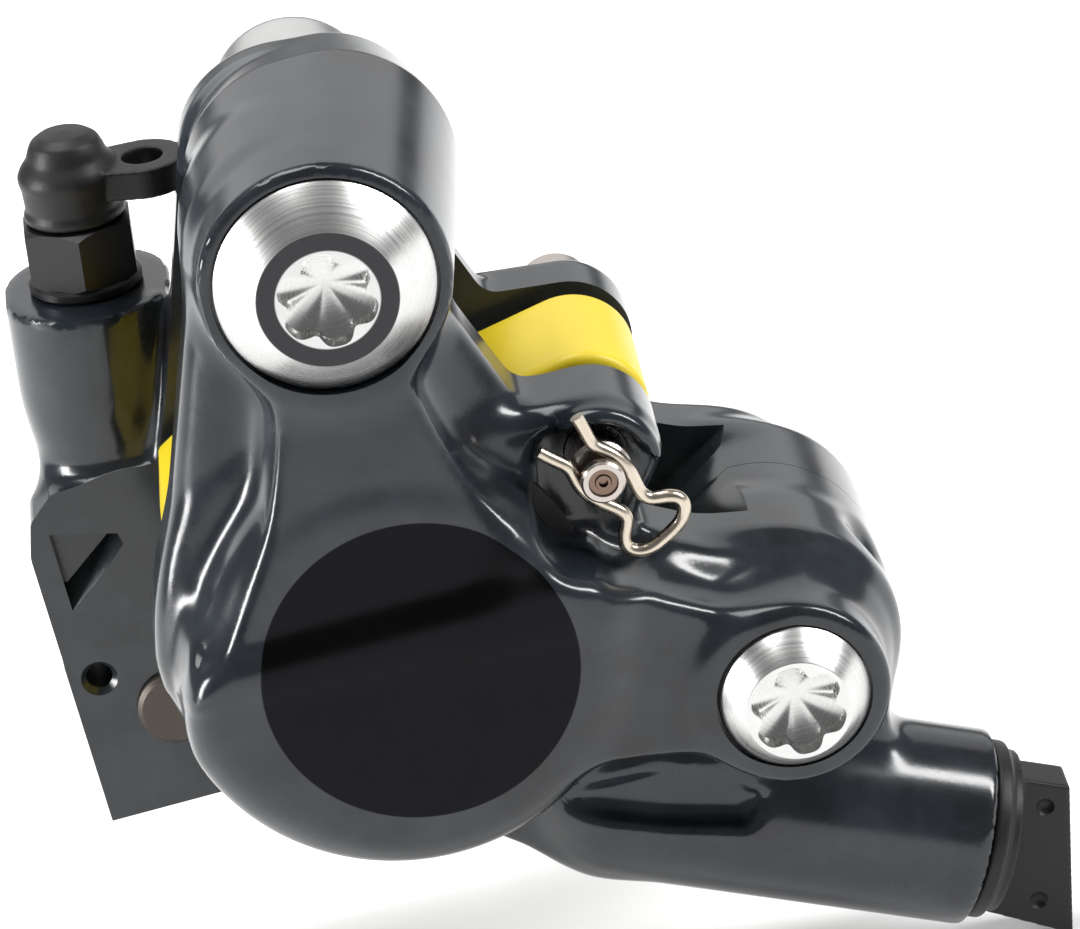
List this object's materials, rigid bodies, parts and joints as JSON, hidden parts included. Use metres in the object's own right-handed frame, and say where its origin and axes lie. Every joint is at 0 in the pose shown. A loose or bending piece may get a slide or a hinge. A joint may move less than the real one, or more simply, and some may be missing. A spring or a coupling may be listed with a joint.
{
  "type": "bicycle disc brake caliper",
  "caption": "Hydraulic flat-mount disc brake caliper for a bicycle, delivered filled, with its bleed block, cap and hose port plug in place.",
  "frame": {"origin": "on the mounting face, midway between the two frame threads", "axes": "+X towards the hose end, +Y away from the wheel, +Z away from the frame; the disc turns in the XZ plane"},
  "size_m": [0.0622, 0.0396, 0.069],
  "materials": {
    "cast_body": "glossy dark grey enamel on cast aluminium",
    "bolt_steel": "bright plated steel with turned rings",
    "axle_steel": "turned stainless steel",
    "retainer_wire": "bright nickel-plated spring wire",
    "black_steel": "black coated steel",
    "black_rubber": "satin moulded rubber",
    "seal_rubber": "smooth sealing rubber",
    "piston_resin": "smooth ground resin",
    "yellow_plastic": "moulded, slightly matt"
  },
  "bodies": {
    "caliper": {"inboard_body": "cast_body", "outboard_body": "cast_body", "upper_body_bolt": "bolt_steel", "upper_bolt_nut": "bolt_steel", "lower_body_bolt": "bolt_steel", "inboard_piston_seal": "seal_rubber", "outboard_piston_seal": "seal_rubber", "crossover_o_ring": "seal_rubber", "pad_axle": "axle_steel", "pad_spacer": "yellow_plastic", "passage_plug": "black_steel"},
    "inboard_piston": {"inboard_piston": "piston_resin"},
    "outboard_piston": {"outboard_piston": "piston_resin"},
    "bleed_nipple": {"bleed_nipple": "black_steel"},
    "bleed_cap": {"bleed_cap": "black_rubber"},
    "axle_snap_retainer": {"axle_snap_retainer": "retainer_wire"},
    "hose_port_plug": {"hose_port_plug": "black_rubber"}
  },
  "joints": [
    {"name": "inboard_piston_slide", "type": "slide", "parent": "caliper", "child": "inboard_piston", "axis": [0, 1, 0], "range_m": [0, 0.0012]},
    {"name": "outboard_piston_slide", "type": "slide", "parent": "caliper", "child": "outboard_piston", "axis": [0, -1, 0], "range_m": [0, 0.0012]},
    {"name": "bleed_nipple_turn", "type": "hinge", "parent": "caliper", "child": "bleed_nipple", "pos_m": [-0.0154, -0.0004, 0.0359], "axis": [0.1271, 0, 0.9919], "range_deg": [0, 180]},
    {"name": "bleed_cap_pull", "type": "slide", "parent": "caliper", "child": "bleed_cap", "axis": [0.1271, 0, 0.9919], "range_m": [0, 0.008]},
    {"name": "hose_plug_pull", "type": "slide", "parent": "caliper", "child": "hose_port_plug", "axis": [0.9011, 0, -0.4337], "range_m": [0, 0.012]},
    {"name": "retainer_swivel", "type": "hinge", "parent": "caliper", "child": "axle_snap_retainer", "pos_m": [0.0144, -0.028, 0.0256], "axis": [0, 1, 0], "range_deg": [-15, 15]}
  ]
}
